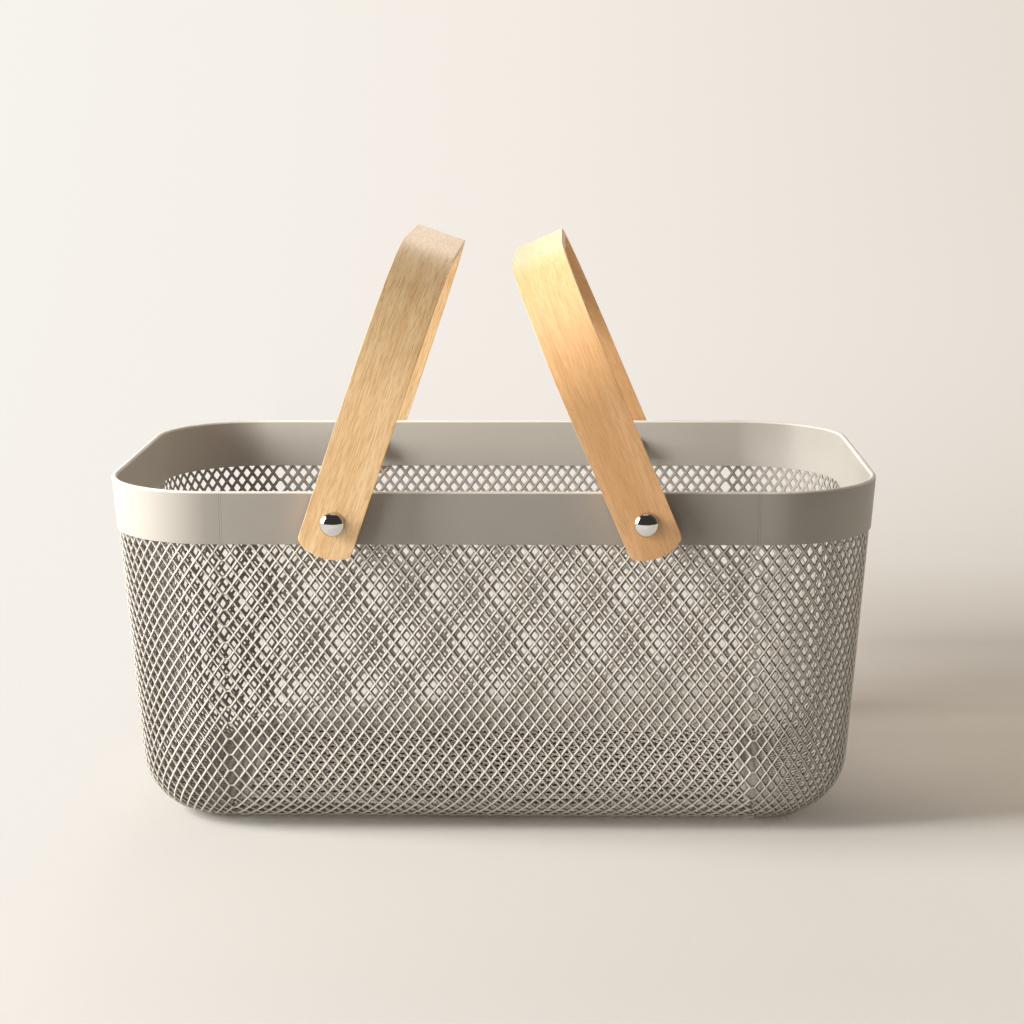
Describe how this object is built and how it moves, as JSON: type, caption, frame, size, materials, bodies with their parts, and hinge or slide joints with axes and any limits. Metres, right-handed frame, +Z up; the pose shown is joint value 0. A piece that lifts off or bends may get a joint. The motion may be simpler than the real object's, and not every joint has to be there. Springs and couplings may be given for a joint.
{
  "type": "mesh storage basket",
  "caption": "Open-topped basket of fine expanded mesh hung in a smooth sheet band, with bent plywood handles that fold down over its ends.",
  "frame": {"origin": "middle of the floor's underside, where the basket stands", "axes": "+Z up, X along the basket from its left end to its right end, +Y from its front wall to its back wall; both handles turn about lines along Y"},
  "size_m": [0.3938, 0.258, 0.3002],
  "materials": {
    "band_paint": "satin powder coat, warm light gray",
    "mesh_paint": "satin powder coat, warm light gray",
    "plywood": "satin clear lacquer on light plywood",
    "chrome": "polished",
    "zinc": "plated, semi-matte",
    "nylon": "matte"
  },
  "bodies": {
    "basket": {"rim_band": "band_paint", "center_mesh": "mesh_paint", "left_end_mesh": "mesh_paint", "right_end_mesh": "mesh_paint", "left_front_screw": "chrome", "left_back_screw": "chrome", "right_front_screw": "chrome", "right_back_screw": "chrome", "left_front_nut": "chrome", "left_back_nut": "chrome", "right_front_nut": "chrome", "right_back_nut": "chrome", "left_front_washer": "zinc", "left_back_washer": "zinc", "right_front_washer": "zinc", "right_back_washer": "zinc", "left_front_spacer": "nylon", "left_back_spacer": "nylon", "right_front_spacer": "nylon", "right_back_spacer": "nylon"},
    "left_handle": {"left_handle": "plywood"},
    "right_handle": {"right_handle": "plywood"}
  },
  "joints": [
    {"name": "left_handle_hinge", "type": "hinge", "parent": "basket", "child": "left_handle", "pos_m": [-0.077, 0, 0.165], "axis": [0, 1, 0], "range_deg": [-133, 7.9]},
    {"name": "right_handle_hinge", "type": "hinge", "parent": "basket", "child": "right_handle", "pos_m": [0.077, 0, 0.165], "axis": [0, -1, 0], "range_deg": [-137, 3.9]}
  ]
}
